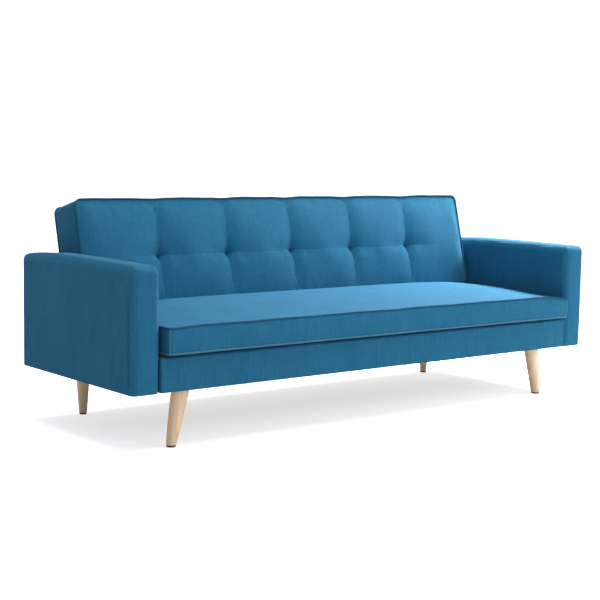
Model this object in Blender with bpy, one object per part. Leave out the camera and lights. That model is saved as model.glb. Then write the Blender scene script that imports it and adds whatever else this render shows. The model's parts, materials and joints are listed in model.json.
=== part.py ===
"""Three-seat futon sofa bed: box arms on a low timber base, a lift-up seat and a fold-flat backrest.

Metres, +Z up, the front faces -Y.  The origin is on the floor, under the centre of the bounding box.
"""

from math import cos, pi, radians, sin

import bmesh
import bpy
from mathutils import Matrix, Vector

# ---- driving dimensions --------------------------------------------------------------------------
WIDTH = 2.100
ARM_WIDTH = 0.100
ARM_DEPTH = 0.738
ARM_TOP = 0.592
BASE_BOTTOM = 0.195
SEAT_TOP = 0.400
SEAT_THICK = 0.085
SEAT_OVERHANG = 0.025
SEAT_END_GAP = 0.015
BACK_RECLINE = radians(14)
BACK_THICK = 0.150
BACK_HALF_WIDTH = 0.920
BACK_TOP = 0.775
BACK_MEETS_SEAT = 0.516  # behind the arm fronts, where the backrest's face crosses the seat's top
HINGE_OFFSET = 0.035  # from that line to the hinge axis, along the bisector of the two faces
GAP = 0.0003  # between pieces that touch

# ---- worked-out places ---------------------------------------------------------------------------
ARM_INNER = WIDTH / 2 - ARM_WIDTH
BISECTOR = (pi / 2 - BACK_RECLINE) / 2  # from the vertical, midway between the two faces
HINGE_BEHIND = BACK_MEETS_SEAT + HINGE_OFFSET * sin(BISECTOR)
HINGE_Z = SEAT_TOP - HINGE_OFFSET * cos(BISECTOR)
FACE_FROM_HINGE = SEAT_TOP - HINGE_Z  # from the axis to the seat's top and to the backrest's face
BACK_TOP_UP = (BACK_TOP - HINGE_Z - FACE_FROM_HINGE * sin(BACK_RECLINE)) / cos(BACK_RECLINE)
BACK_REAR = (
    HINGE_BEHIND
    + (BACK_THICK - FACE_FROM_HINGE) * cos(BACK_RECLINE)
    + BACK_TOP_UP * sin(BACK_RECLINE)
)
FRONT = -(BACK_REAR - SEAT_OVERHANG) / 2  # y of the arm fronts, so that the box is centred
HINGE_Y = FRONT + HINGE_BEHIND

# ---- seat and backrest ---------------------------------------------------------------------------
SEAT_REAR = 0.558  # behind the arm fronts
SEAT_REAR_ROUND = 0.030
SEAT_EDGE_ROUND = 0.014
SEAT_HALF_WIDTH = ARM_INNER - SEAT_END_GAP
SEAT_NOTCH_FROM = 0.472  # the seat's rear corners are cut back here, to clear the hinges
SEAT_NOTCH_X = BACK_HALF_WIDTH - 0.012
BACK_BOTTOM_UP = 0.030  # from the hinge axis up to the backrest's lower edge
BACK_BOTTOM_ROUND = 0.040
BACK_TOP_ROUND = 0.012
BACK_FOAM = 0.106
BACK_PANEL = 0.004
TIMBER = 0.025
BACK_TIMBER_WIDE = 0.060
BACK_FRAME_IN = 0.012  # the frame stays this far inside the cover's edges
SEAT_TIMBER_DEEP = 0.0629  # the seat's frame then rests on the base's front rail
WEB_WIDE = 0.050
WEB_THICK = 0.0016
WEB_SHORT = 0.005
SEAT_RAIL_DOWN = 0.0065  # from the cushion's underside to the rails, where the springs lie
SEAT_RAIL_FRONT = 0.045  # places of the seat's rails, behind the arm fronts
SEAT_RAIL_REAR = 0.500
SEAT_LEVER_GAP = 0.0005
SPRING_IN = 0.006

# ---- base ----------------------------------------------------------------------------------------
FASCIA_THICK = 0.025
SIDE_RAIL_THICK = 0.017
SIDE_RAIL_TOP = 0.300
FLAT_RAIL_WIDE = 0.090
FLAT_RAIL_DEEP = 0.045
PLATE_THICK = 0.005
PLATE_SIDE = 0.080
ARM_PAD = 0.012
ARM_ROUND = 0.022
ARM_POST = 0.060
ARM_LOWER_RAIL = 0.095
ARM_UPPER_RAIL = 0.065
ARM_CORE_UP = 0.004  # the core's foot, above the cover's hem
ARM_CORE_DOWN = 0.024  # the core's head, below the arm's top
SIDE_RAIL_SHORT = 0.003
REAR_RAIL_IN = 0.004
FASCIA_SLACK = 0.0005
FASCIA_UP = 0.001
DUST_COVER_THICK = 0.0016
THROUGH = 0.02  # how far a cutting shape runs past what it cuts

# ---- legs ----------------------------------------------------------------------------------------
GLIDE_HIGH = 0.005
LEG_TOP = BASE_BOTTOM - GAP
FRONT_LEG = dict(x=0.832, behind=0.068, splay=0.036, top_radius=0.0300, foot_radius=0.0165)
REAR_LEG = dict(x=0.841, behind=0.692, splay=0.000, top_radius=0.0270, foot_radius=0.0140)
STUD_RADIUS = 0.004
STUD_LONG = 0.030
STUD_SUNK = 0.001
GLIDE_IN = 0.0006  # the glide's rim, in from the foot's
GLIDE_BEVEL = 0.0014

# ---- hinges, from the backrest's end out to the arm ----------------------------------------------
LEVER_THICK = 0.004
BACK_LEVER_X = BACK_HALF_WIDTH + 0.0006
SEAT_LEVER_X = BACK_LEVER_X + LEVER_THICK + 0.0008
HOUSING_X = SEAT_LEVER_X + LEVER_THICK + 0.0008
BRACKET_X = ARM_INNER - 0.0055
BRACKET_THICK = 0.005
BRACKET_LOW = 0.302
PIVOT_RADIUS = 0.005
PIVOT_RUNNING = 0.0004
HOUSING_RADIUS = 0.021
LEVER_HALF_WIDE = 0.012
BRACKET_EYE = 0.019
BRACKET_AHEAD = 0.045
BRACKET_ASTERN = 0.075
BRACKET_PLATE = 0.030
HOUSING_BEVEL = 0.004
SEAT_LEVER_KNEE = (-0.040, -0.078)  # behind and above the hinge axis
SEAT_LEVER_END = (-0.260, -0.082)
BACK_LEVER_KNEE = (0.095, 0.085)
BACK_LEVER_END = (0.100, 0.160)
PIVOT_HEAD_IN = 0.008
PIVOT_HEAD_TO_SHANK = 1.8
PIVOT_CLEAR = 0.002
PIVOT_HEAD_GAP = 0.0005

# ---- springs and bolts ---------------------------------------------------------------------------
SPRING_COUNT = 6
SPRING_WIRE = 0.0019
SPRING_SWING = 0.024
SPRING_TURNS = 10
WEB_COUNT = 4
BOLT_RADIUS = 0.004
BOLT_REACH = 0.045  # into the arm
HEAD_TO_SHANK = 2.1
BOLT_BEHIND = (0.160, 0.400)
BOLT_Z = 0.262
HEAD_HIGH = 0.005
ROUND_STEPS = 5


def clear_scene():
    for obj in list(bpy.data.objects):
        bpy.data.objects.remove(obj)


def material(name, colour, roughness, metallic=0.0):
    made = bpy.data.materials.new(name)
    made.use_nodes = True
    shader = made.node_tree.nodes["Principled BSDF"]
    shader.inputs["Base Color"].default_value = (*colour, 1.0)
    shader.inputs["Roughness"].default_value = roughness
    shader.inputs["Metallic"].default_value = metallic
    return made


def behind(distance):
    """The y of a place that far behind the arm fronts."""
    return FRONT + distance


def new_object(name, data, finish, parent=None):
    obj = bpy.data.objects.new(name, data)
    PARTS.objects.link(obj)
    obj.data.materials.append(finish)
    obj.parent = parent
    return obj


def box(name, low, high, finish, parent=None, radius=0.0, rounded=None):
    """A box between two corners.  rounded(a, b) picks the edges, by their ends, to round off."""
    low, high = Vector(low), Vector(high)
    centre = (low + high) / 2
    mesh = bpy.data.meshes.new(name)
    bm = bmesh.new()
    bmesh.ops.create_cube(bm, size=1.0, matrix=Matrix.Diagonal((*(high - low), 1.0)))
    if radius:
        edges = [e for e in bm.edges if rounded(e.verts[0].co, e.verts[1].co)]
        bmesh.ops.bevel(
            bm, geom=edges, offset=radius, segments=ROUND_STEPS, profile=0.5, affect="EDGES"
        )
    bm.to_mesh(mesh)
    bm.free()
    obj = new_object(name, mesh, finish, parent)
    obj.location = centre
    if radius:
        mesh.shade_smooth()
        mesh.set_sharp_from_angle(angle=radians(35))
    return obj


def cylinder(name, start, end, radius, finish, parent=None, end_radius=None, sides=24):
    """A round bar, or a cone, from start to end."""
    start, end = Vector(start), Vector(end)
    axis = end - start
    mesh = bpy.data.meshes.new(name)
    bm = bmesh.new()
    bmesh.ops.create_cone(
        bm,
        cap_ends=True,
        segments=sides,
        radius1=radius,
        radius2=radius if end_radius is None else end_radius,
        depth=axis.length,
    )
    bm.to_mesh(mesh)
    bm.free()
    obj = new_object(name, mesh, finish, parent)
    obj.location = (start + end) / 2
    obj.rotation_euler = axis.to_track_quat("Z", "Y").to_euler()
    mesh.shade_smooth()
    mesh.set_sharp_from_angle(angle=radians(35))
    return obj


def prism(name, outline, x_low, x_high, finish, parent=None):
    """A flat outline of (y, z) points, running anticlockwise seen from +X, made solid between two x."""
    curve = bpy.data.curves.new(name, "CURVE")
    curve.dimensions = "2D"
    curve.fill_mode = "BOTH"
    curve.extrude = (x_high - x_low) / 2
    spline = curve.splines.new("POLY")
    spline.points.add(len(outline) - 1)
    for point, (y, z) in zip(spline.points, outline):
        point.co = (y, z, 0.0, 1.0)
    spline.use_cyclic_u = True
    obj = new_object(name, curve, finish, parent)
    obj.location = ((x_low + x_high) / 2, 0.0, 0.0)
    obj.rotation_euler = (pi / 2, 0.0, pi / 2)
    return as_mesh(obj)


def as_mesh(obj):
    """The curve's own mesh, with its loose caps welded, in the curve's place."""
    bpy.context.view_layer.update()
    evaluated = obj.evaluated_get(bpy.context.evaluated_depsgraph_get())
    mesh = bpy.data.meshes.new_from_object(evaluated)
    bm = bmesh.new()
    bm.from_mesh(mesh)
    bmesh.ops.remove_doubles(bm, verts=bm.verts, dist=1e-5)
    bmesh.ops.recalc_face_normals(bm, faces=bm.faces)
    bm.to_mesh(mesh)
    bm.free()
    name, parent, place = obj.name, obj.parent, obj.matrix_basis.copy()
    bpy.data.objects.remove(obj)
    made = bpy.data.objects.new(name, mesh)
    PARTS.objects.link(made)
    made.parent = parent
    made.matrix_basis = place
    return made


def combine(obj, helper, operation):
    """Cuts the helper out of obj, or joins it on; the helper stays in the scene, hidden."""
    if helper.name in PARTS.objects:
        PARTS.objects.unlink(helper)
        CUTTERS.objects.link(helper)
    helper.hide_render = True
    helper.display_type = "WIRE"
    made = obj.modifiers.new(helper.name, "BOOLEAN")
    made.operation = operation
    made.solver = "EXACT"
    made.object = helper


def cut(obj, cutter):
    combine(obj, cutter, "DIFFERENCE")


def join(obj, addition):
    combine(obj, addition, "UNION")


def arc(centre, radius, start, end, steps=ROUND_STEPS):
    """Points along an arc, both ends included; angles in degrees."""
    turn = [radians(start + (end - start) * i / steps) for i in range(steps + 1)]
    return [(centre[0] + radius * cos(a), centre[1] + radius * sin(a)) for a in turn]


def band(path, half_width):
    """The outline of a flat bar of even width along a path of (y, z) points, with round ends."""
    path = [Vector(p) for p in path]
    left, right = [], []
    for i, point in enumerate(path):
        before = (point - path[i - 1]).normalized() if i else None
        after = (path[i + 1] - point).normalized() if i + 1 < len(path) else None
        along = ((before or after) + (after or before)).normalized()
        side = Vector((-along.y, along.x))
        reach = half_width / along.dot(after or before)
        left.append(point + side * reach)
        right.append(point - side * reach)

    def round_end(centre, start_point):
        start = start_point - centre
        return [
            centre + Matrix.Rotation(-pi * i / 6, 2) @ start for i in range(1, 6)
        ]

    outline = left + round_end(path[-1], left[-1])
    outline += right[::-1] + round_end(path[0], right[0])
    return [(p.x, p.y) for p in reversed(outline)]


def in_both_sides(build):
    """Runs build(side name, sign of x) for the left (-X) and the right (+X) side."""
    for side, sign in (("left", -1), ("right", 1)):
        build(side, sign)


def span(sign, inner, outer):
    """(lower x, higher x) of a piece between two distances from the middle, on one side."""
    return sorted((sign * inner, sign * outer))


# ---- arms ----------------------------------------------------------------------------------------
def arm(side, sign):
    low_x, high_x = span(sign, ARM_INNER, WIDTH / 2)
    cover = box(
        f"arm_cover_{side}",
        (low_x, behind(0), BASE_BOTTOM),
        (high_x, behind(ARM_DEPTH), ARM_TOP),
        FABRIC,
        radius=ARM_ROUND,
        rounded=lambda a, b: min(a.z, b.z) > 0,
    )
    core_low = Vector((low_x + ARM_PAD, behind(ARM_PAD), BASE_BOTTOM + ARM_CORE_UP))
    core_high = Vector((high_x - ARM_PAD, behind(ARM_DEPTH - ARM_PAD), ARM_TOP - ARM_CORE_DOWN))
    core = box(f"arm_core_{side}", core_low, core_high, TIMBER_FINISH)
    window = box(
        f"arm_window_{side}",
        core_low + Vector((-THROUGH, ARM_POST, ARM_LOWER_RAIL)),
        core_high - Vector((-THROUGH, ARM_POST, ARM_UPPER_RAIL)),
        TIMBER_FINISH,
    )
    cut(core, window)
    slack = Vector((GAP, GAP, GAP))
    cavity = box(
        f"arm_cavity_{side}",
        core_low - slack - Vector((0, 0, THROUGH)),
        core_high + slack,
        TIMBER_FINISH,
    )
    cut(cover, cavity)
    for number, distance in enumerate(BOLT_BEHIND, 1):
        tip = (sign * (ARM_INNER + BOLT_REACH), behind(distance), BOLT_Z)
        neck = (sign * (ARM_INNER - SIDE_RAIL_THICK - GAP), behind(distance), BOLT_Z)
        head = (sign * (ARM_INNER - SIDE_RAIL_THICK - HEAD_HIGH), behind(distance), BOLT_Z)
        sunk = (sign * (ARM_INNER - SIDE_RAIL_THICK - HEAD_HIGH / 2), behind(distance), BOLT_Z)
        bolt = cylinder(f"arm_bolt_{side}_{number}", sunk, tip, BOLT_RADIUS, ZINC, sides=16)
        add_head(bolt, head, neck, BOLT_RADIUS * HEAD_TO_SHANK)
        hole = cylinder(
            f"arm_bolt_hole_{side}_{number}",
            (sign * (ARM_INNER - SIDE_RAIL_THICK - THROUGH), behind(distance), BOLT_Z),
            (sign * (ARM_INNER + BOLT_REACH + GAP), behind(distance), BOLT_Z),
            BOLT_RADIUS + GAP,
            ZINC,
            sides=16,
        )
        for drilled in (cover, core, bpy.data.objects[f"base_rail_{side}"]):
            cut(drilled, hole)


def add_head(bolt, start, end, radius, sides=16):
    """Joins a round head to a bolt that starts inside it."""
    join(bolt, cylinder(bolt.name + "_head", start, end, radius, ZINC, sides=sides))


# ---- base ----------------------------------------------------------------------------------------
def base():
    rail_low = BASE_BOTTOM + PLATE_THICK + GAP
    inner_x = ARM_INNER - SIDE_RAIL_THICK - GAP
    box(
        "front_fascia",
        (-ARM_INNER + FASCIA_SLACK, behind(0), BASE_BOTTOM + FASCIA_UP),
        (ARM_INNER - FASCIA_SLACK, behind(FASCIA_THICK), SEAT_TOP - SEAT_THICK - FASCIA_SLACK),
        FABRIC,
    )
    for side, sign in (("left", -1), ("right", 1)):
        low_x, high_x = span(sign, ARM_INNER - SIDE_RAIL_THICK, ARM_INNER - GAP)
        box(
            f"base_rail_{side}",
            (low_x, behind(FASCIA_THICK + GAP), rail_low),
            (high_x, behind(ARM_DEPTH - SIDE_RAIL_SHORT), SIDE_RAIL_TOP),
            TIMBER_FINISH,
        )
    starts = (FASCIA_THICK + 2 * GAP, ARM_DEPTH - REAR_RAIL_IN - FLAT_RAIL_WIDE)
    for name, start in zip(("base_rail_front", "base_rail_rear"), starts):
        box(
            name,
            (-inner_x, behind(start), rail_low),
            (inner_x, behind(start + FLAT_RAIL_WIDE), rail_low + FLAT_RAIL_DEEP),
            TIMBER_FINISH,
        )
    between = (behind(starts[0] + FLAT_RAIL_WIDE + GAP), behind(starts[1] - GAP))
    box(
        "base_rail_centre",
        (-FLAT_RAIL_DEEP / 2, between[0], rail_low),
        (FLAT_RAIL_DEEP / 2, between[1], rail_low + FLAT_RAIL_DEEP),
        TIMBER_FINISH,
    )
    box(
        "dust_cover",
        (-inner_x, between[0], rail_low - GAP - DUST_COVER_THICK),
        (inner_x, between[1], rail_low - GAP),
        DUST_CLOTH,
    )


def leg(place, side, sign, spec):
    """A turned leg on its steel plate.  A splayed leg leans outwards and keeps level ends."""
    top_x, y = sign * spec["x"], behind(spec["behind"])
    plate = box(
        f"leg_plate_{place}_{side}",
        (top_x - PLATE_SIDE / 2, y - PLATE_SIDE / 2, BASE_BOTTOM),
        (top_x + PLATE_SIDE / 2, y + PLATE_SIDE / 2, BASE_BOTTOM + PLATE_THICK),
        ZINC,
    )
    stud_foot = Vector((top_x, y, LEG_TOP - STUD_LONG))
    stud_head = Vector((top_x, y, BASE_BOTTOM + STUD_SUNK))
    stud = cylinder(f"stud_{place}_{side}", stud_foot, stud_head, STUD_RADIUS, ZINC, sides=12)
    join(plate, stud)

    foot_z = GLIDE_HIGH + GAP
    high = LEG_TOP - foot_z
    wood = cylinder(
        f"leg_{place}_{side}",
        (0, 0, -high / 2),
        (0, 0, high / 2),
        spec["foot_radius"],
        LEG_WOOD,
        end_radius=spec["top_radius"],
        sides=32,
    )
    lean = sign * spec["splay"] / high
    shear = Matrix.Identity(4)
    shear[0][2] = -lean
    wood.data.transform(shear)
    wood.location = (top_x + lean * high / 2, y, foot_z + high / 2)
    hole = cylinder(
        f"stud_hole_{place}_{side}",
        stud_foot - Vector((0, 0, STUD_SUNK)),
        stud_head + Vector((0, 0, THROUGH)),
        STUD_RADIUS + GAP,
        ZINC,
        sides=12,
    )
    cut(wood, hole)
    cylinder(
        f"leg_glide_{place}_{side}",
        (top_x + lean * high, y, 0.0),
        (top_x + lean * high, y, GLIDE_HIGH),
        spec["foot_radius"] - GLIDE_IN - GLIDE_BEVEL,
        GLIDE_PLASTIC,
        end_radius=spec["foot_radius"] - GLIDE_IN,
        sides=24,
    )


# ---- seat ----------------------------------------------------------------------------------------
def seat(pivot):
    """Everything that lifts with the seat, placed from the hinge axis."""
    def y(distance):
        return behind(distance) - HINGE_Y

    def z(height):
        return height - HINGE_Z

    low, high = z(SEAT_TOP - SEAT_THICK), z(SEAT_TOP)
    front, rear = y(-SEAT_OVERHANG), y(SEAT_REAR)
    edge, round_rear = SEAT_EDGE_ROUND, SEAT_REAR_ROUND
    outline = (
        arc((front + edge, low + edge), edge, 180, 270)
        + [(rear, low)]
        + arc((rear - round_rear, high - round_rear), round_rear, 0, 90, 8)
        + arc((front + edge, high - edge), edge, 90, 180)
    )
    cushion = prism(
        "seat_cushion", outline, -SEAT_HALF_WIDTH, SEAT_HALF_WIDTH, FABRIC, pivot
    )
    for side, sign in (("left", -1), ("right", 1)):
        low_x, high_x = span(sign, SEAT_NOTCH_X, SEAT_HALF_WIDTH + THROUGH)
        notch = box(
            f"seat_notch_{side}",
            (low_x, y(SEAT_NOTCH_FROM), low - THROUGH),
            (high_x, rear + THROUGH, high + THROUGH),
            FABRIC,
            pivot,
        )
        cut(cushion, notch)

    rail_top = low - SEAT_RAIL_DOWN
    rail_low = rail_top - SEAT_TIMBER_DEEP
    front_rail, rear_rail = y(SEAT_RAIL_FRONT), y(SEAT_RAIL_REAR)
    side_x = SEAT_LEVER_X - SEAT_LEVER_GAP
    for name, start in (
        ("seat_rail_front", front_rail),
        ("seat_rail_rear", rear_rail - TIMBER),
    ):
        box(
            name,
            (-side_x, start, rail_low),
            (side_x, start + TIMBER, rail_top),
            TIMBER_FINISH,
            pivot,
        )
    between = (front_rail + TIMBER + GAP, rear_rail - TIMBER - GAP)
    for name, centre in (
        ("seat_rail_left", -side_x + TIMBER / 2),
        ("seat_rail_centre", 0.0),
        ("seat_rail_right", side_x - TIMBER / 2),
    ):
        box(
            name,
            (centre - TIMBER / 2, between[0], rail_low),
            (centre + TIMBER / 2, between[1], rail_top),
            TIMBER_FINISH,
            pivot,
        )
    span_x = 2 * side_x / SPRING_COUNT
    for number in range(SPRING_COUNT):
        centre = -side_x + span_x * (number + 0.5)
        height = rail_top + GAP + SPRING_WIRE
        ends = (front_rail + SPRING_IN, rear_rail - SPRING_IN)
        spring(f"seat_spring_{number + 1}", centre, *ends, height, pivot)


def spring(name, x, start, end, height, pivot):
    """A sinuous wire spring from the front rail to the rear rail, level and a little below the pad."""
    steps = SPRING_TURNS * 8
    points = []
    for i in range(steps + 1):
        share = i / steps
        swing = SPRING_SWING * sin(2 * pi * SPRING_TURNS * share)
        points.append((x + swing, start + (end - start) * share, height))
    wire(name, points, SPRING_WIRE, SPRING_STEEL, pivot)


def wire(name, points, radius, finish, parent):
    curve = bpy.data.curves.new(name, "CURVE")
    curve.dimensions = "3D"
    curve.bevel_depth = radius
    curve.bevel_resolution = 2
    curve.use_fill_caps = True
    spline = curve.splines.new("POLY")
    spline.points.add(len(points) - 1)
    for point, place in zip(spline.points, points):
        point.co = (*place, 1.0)
    return new_object(name, curve, finish, parent)


# ---- backrest ------------------------------------------------------------------------------------
def backrest(pivot):
    """Everything that folds with the backrest, built upright with its face towards -Y."""
    face, rear = -FACE_FROM_HINGE, BACK_THICK - FACE_FROM_HINGE
    foam_rear = face + BACK_FOAM
    low, high = BACK_BOTTOM_UP, BACK_TOP_UP
    big, small = BACK_BOTTOM_ROUND, BACK_TOP_ROUND
    outline = (
        arc((face + big, low + big), big, 180, 270, 8)
        + [(foam_rear, low), (foam_rear, high)]
        + arc((face + small, high - small), small, 90, 180)
    )
    prism("back_cushion", outline, -BACK_HALF_WIDTH, BACK_HALF_WIDTH, FABRIC, pivot)

    web_front = foam_rear + GAP
    rail_front = web_front + WEB_THICK + GAP
    rail_rear = rear - BACK_PANEL - GAP
    half, foot, head = BACK_HALF_WIDTH - BACK_FRAME_IN, low + BACK_FRAME_IN, high - BACK_FRAME_IN
    for name, start in (
        ("back_rail_bottom", foot),
        ("back_rail_top", head - BACK_TIMBER_WIDE),
    ):
        box(
            name,
            (-half, rail_front, start),
            (half, rail_rear, start + BACK_TIMBER_WIDE),
            TIMBER_FINISH,
            pivot,
        )
    between = (foot + BACK_TIMBER_WIDE + GAP, head - BACK_TIMBER_WIDE - GAP)
    for name, centre in (
        ("back_stile_left", -half + BACK_TIMBER_WIDE / 2),
        ("back_stile_centre", 0.0),
        ("back_stile_right", half - BACK_TIMBER_WIDE / 2),
    ):
        box(
            name,
            (centre - BACK_TIMBER_WIDE / 2, rail_front, between[0]),
            (centre + BACK_TIMBER_WIDE / 2, rail_rear, between[1]),
            TIMBER_FINISH,
            pivot,
        )
    for number in range(WEB_COUNT):
        centre = half * (-0.75 + 0.5 * number)
        box(
            f"back_web_{number + 1}",
            (centre - WEB_WIDE / 2, web_front, foot + WEB_SHORT),
            (centre + WEB_WIDE / 2, web_front + WEB_THICK, head - WEB_SHORT),
            WEBBING,
            pivot,
        )
    box(
        "back_rear_panel",
        (-BACK_HALF_WIDTH, rear - BACK_PANEL, low),
        (BACK_HALF_WIDTH, rear, high),
        FABRIC,
        pivot,
    )


# ---- hinges --------------------------------------------------------------------------------------
def hinge(side, sign, seat_pivot, back_pivot):
    """One click-clack hinge: a fixed bracket and ratchet housing, the two levers and the pivot bolt."""
    low_x, high_x = span(sign, BRACKET_X, BRACKET_X + BRACKET_THICK)
    bracket_outline = [
        (HINGE_Y - BRACKET_AHEAD, BRACKET_LOW),
        (HINGE_Y + BRACKET_ASTERN, BRACKET_LOW),
        (HINGE_Y + BRACKET_ASTERN, BRACKET_LOW + BRACKET_PLATE),
    ] + arc((HINGE_Y, HINGE_Z), BRACKET_EYE, 20, 160, 8)
    bracket_outline.append((HINGE_Y - BRACKET_AHEAD, BRACKET_LOW + BRACKET_PLATE))
    bracket = prism(f"hinge_bracket_{side}", bracket_outline, low_x, high_x, BLACK_STEEL)

    housing = cylinder(
        f"ratchet_housing_{side}",
        (sign * HOUSING_X, HINGE_Y, HINGE_Z),
        (sign * (BRACKET_X - GAP), HINGE_Y, HINGE_Z),
        HOUSING_RADIUS - HOUSING_BEVEL,
        BLACK_STEEL,
        end_radius=HOUSING_RADIUS,
        sides=32,
    )

    low_x, high_x = span(sign, SEAT_LEVER_X, SEAT_LEVER_X + LEVER_THICK)
    seat_path = [(0.0, 0.0), SEAT_LEVER_KNEE, SEAT_LEVER_END]
    seat_lever = prism(
        f"seat_lever_{side}", band(seat_path, LEVER_HALF_WIDE), low_x, high_x, BLACK_STEEL, seat_pivot
    )
    low_x, high_x = span(sign, BACK_LEVER_X, BACK_LEVER_X + LEVER_THICK)
    back_path = [(0.0, 0.0), BACK_LEVER_KNEE, BACK_LEVER_END]
    back_lever = prism(
        f"back_lever_{side}", band(back_path, LEVER_HALF_WIDE), low_x, high_x, BLACK_STEEL, back_pivot
    )

    head_x = sign * (BACK_HALF_WIDTH - PIVOT_HEAD_IN)
    pivot_bolt = cylinder(
        f"pivot_bolt_{side}",
        (sign * (BACK_LEVER_X - 2 * PIVOT_HEAD_GAP), HINGE_Y, HINGE_Z),
        (sign * (ARM_INNER - 2 * PIVOT_RUNNING), HINGE_Y, HINGE_Z),
        PIVOT_RADIUS,
        ZINC,
        sides=20,
    )
    add_head(
        pivot_bolt,
        (head_x, HINGE_Y, HINGE_Z),
        (sign * (BACK_LEVER_X - PIVOT_HEAD_GAP), HINGE_Y, HINGE_Z),
        PIVOT_RADIUS * PIVOT_HEAD_TO_SHANK,
    )
    hole = cylinder(
        f"pivot_hole_{side}",
        (sign * (BACK_HALF_WIDTH - PIVOT_CLEAR), HINGE_Y, HINGE_Z),
        (sign * (ARM_INNER + PIVOT_CLEAR), HINGE_Y, HINGE_Z),
        PIVOT_RADIUS + PIVOT_RUNNING,
        ZINC,
        sides=20,
    )
    for drilled in (bracket, housing, seat_lever, back_lever):
        cut(drilled, hole)


def pivot_empty(name, recline=0.0):
    empty = bpy.data.objects.new(name, None)
    PARTS.objects.link(empty)
    empty.location = (0.0, HINGE_Y, HINGE_Z)
    empty.rotation_euler = (-recline, 0.0, 0.0)
    return empty


clear_scene()
PARTS = bpy.data.collections.new("futon_sofa_bed")
CUTTERS = bpy.data.collections.new("cutters")
for collection in (PARTS, CUTTERS):
    bpy.context.scene.collection.children.link(collection)

FABRIC = material("blue_upholstery", (0.035, 0.165, 0.290), 0.85)
TIMBER_FINISH = material("frame_timber", (0.62, 0.46, 0.29), 0.75)
LEG_WOOD = material("leg_wood", (0.72, 0.50, 0.30), 0.45)
BLACK_STEEL = material("black_steel", (0.03, 0.03, 0.033), 0.45, 1.0)
SPRING_STEEL = material("spring_steel", (0.45, 0.45, 0.46), 0.35, 1.0)
ZINC = material("zinc_steel", (0.62, 0.62, 0.60), 0.35, 1.0)
GLIDE_PLASTIC = material("glide_plastic", (0.05, 0.04, 0.035), 0.6)
DUST_CLOTH = material("dust_cloth", (0.02, 0.02, 0.022), 0.95)
WEBBING = material("webbing", (0.08, 0.08, 0.075), 0.9)

base()
in_both_sides(arm)
for place, spec in (("front", FRONT_LEG), ("rear", REAR_LEG)):
    for side, sign in (("left", -1), ("right", 1)):
        leg(place, side, sign, spec)
seat_pivot = pivot_empty("seat_pivot")
back_pivot = pivot_empty("back_pivot", BACK_RECLINE)
seat(seat_pivot)
backrest(back_pivot)
in_both_sides(lambda side, sign: hinge(side, sign, seat_pivot, back_pivot))
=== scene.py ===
import json
from math import cos, pi, radians, sin, tan

import bmesh
import bpy
import numpy as np
from mathutils import Matrix, Vector

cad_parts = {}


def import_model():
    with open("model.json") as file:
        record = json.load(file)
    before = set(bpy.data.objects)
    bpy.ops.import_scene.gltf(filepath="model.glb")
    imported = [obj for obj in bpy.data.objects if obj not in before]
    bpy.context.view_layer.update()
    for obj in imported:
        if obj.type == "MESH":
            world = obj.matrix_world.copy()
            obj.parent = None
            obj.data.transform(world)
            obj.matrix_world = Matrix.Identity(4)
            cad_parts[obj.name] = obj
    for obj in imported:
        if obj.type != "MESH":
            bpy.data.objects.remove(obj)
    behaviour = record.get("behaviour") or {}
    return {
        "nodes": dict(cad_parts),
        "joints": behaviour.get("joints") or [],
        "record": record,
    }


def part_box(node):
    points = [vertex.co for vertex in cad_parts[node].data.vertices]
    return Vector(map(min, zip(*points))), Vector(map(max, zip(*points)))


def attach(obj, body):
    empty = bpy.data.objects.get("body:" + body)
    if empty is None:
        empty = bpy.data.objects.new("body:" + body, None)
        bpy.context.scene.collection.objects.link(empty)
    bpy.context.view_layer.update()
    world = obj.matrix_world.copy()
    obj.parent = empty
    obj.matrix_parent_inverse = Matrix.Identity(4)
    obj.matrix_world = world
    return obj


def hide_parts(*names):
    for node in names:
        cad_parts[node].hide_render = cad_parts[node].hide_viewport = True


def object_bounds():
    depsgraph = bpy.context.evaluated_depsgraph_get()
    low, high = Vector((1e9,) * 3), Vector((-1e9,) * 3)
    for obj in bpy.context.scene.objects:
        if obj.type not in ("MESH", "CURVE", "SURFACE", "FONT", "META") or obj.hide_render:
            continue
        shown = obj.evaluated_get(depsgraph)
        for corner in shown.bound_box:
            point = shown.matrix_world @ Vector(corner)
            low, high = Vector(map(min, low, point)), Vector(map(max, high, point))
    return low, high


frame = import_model()
CAD_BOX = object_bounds()

# ---- places, all from the frame ------------------------------------------------------------------
HINGE = Vector(frame["joints"][0]["pos_m"])
RECLINE = radians(14)  # the backrest's lean at rest
SEAT_LOW, SEAT_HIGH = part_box("seat_cushion")
BASE_LOW, BASE_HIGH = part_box("front_fascia")
BACK_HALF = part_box("back_cushion")[1].x
FACE_BEHIND = SEAT_HIGH.z - HINGE.z  # the hinge axis lies this far behind the backrest's face
BACK_THICK = 0.150
BACK_FOOT = 0.030  # from the hinge axis up to the backrest's lower edge
PROUD = 0.002  # the fabric stands this far above the CAD backrest
BACK_HEAD = (CAD_BOX[1].z - HINGE.z - FACE_BEHIND * sin(RECLINE)) / cos(RECLINE) + PROUD

# ---- soft shapes, in metres unless a comment says otherwise ---------------------------------------
GRID = 0.012  # the covers' mesh step, away from their rims
BACK_GRID = 0.0095
FINE = 0.0025  # the same, near their rims
FINE_AT_MOST = 0.8  # share of a block's half size that the finer mesh may take
TINY = 1e-9  # keeps a length that is divided by above nothing
ON_FACE = 0.999  # a point this share of the way out lies on the block's face
PIPING = 0.0037
PIPING_IN = 0.0008  # the cord's centre, in from the two faces it joins
CORNER_STEPS = 6  # in each quarter turn of a line of piping
RIM = 0.007  # the roundness of the seams that carry piping
END_BAND = 0.012  # how far in from an edge its bulge reaches

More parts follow.
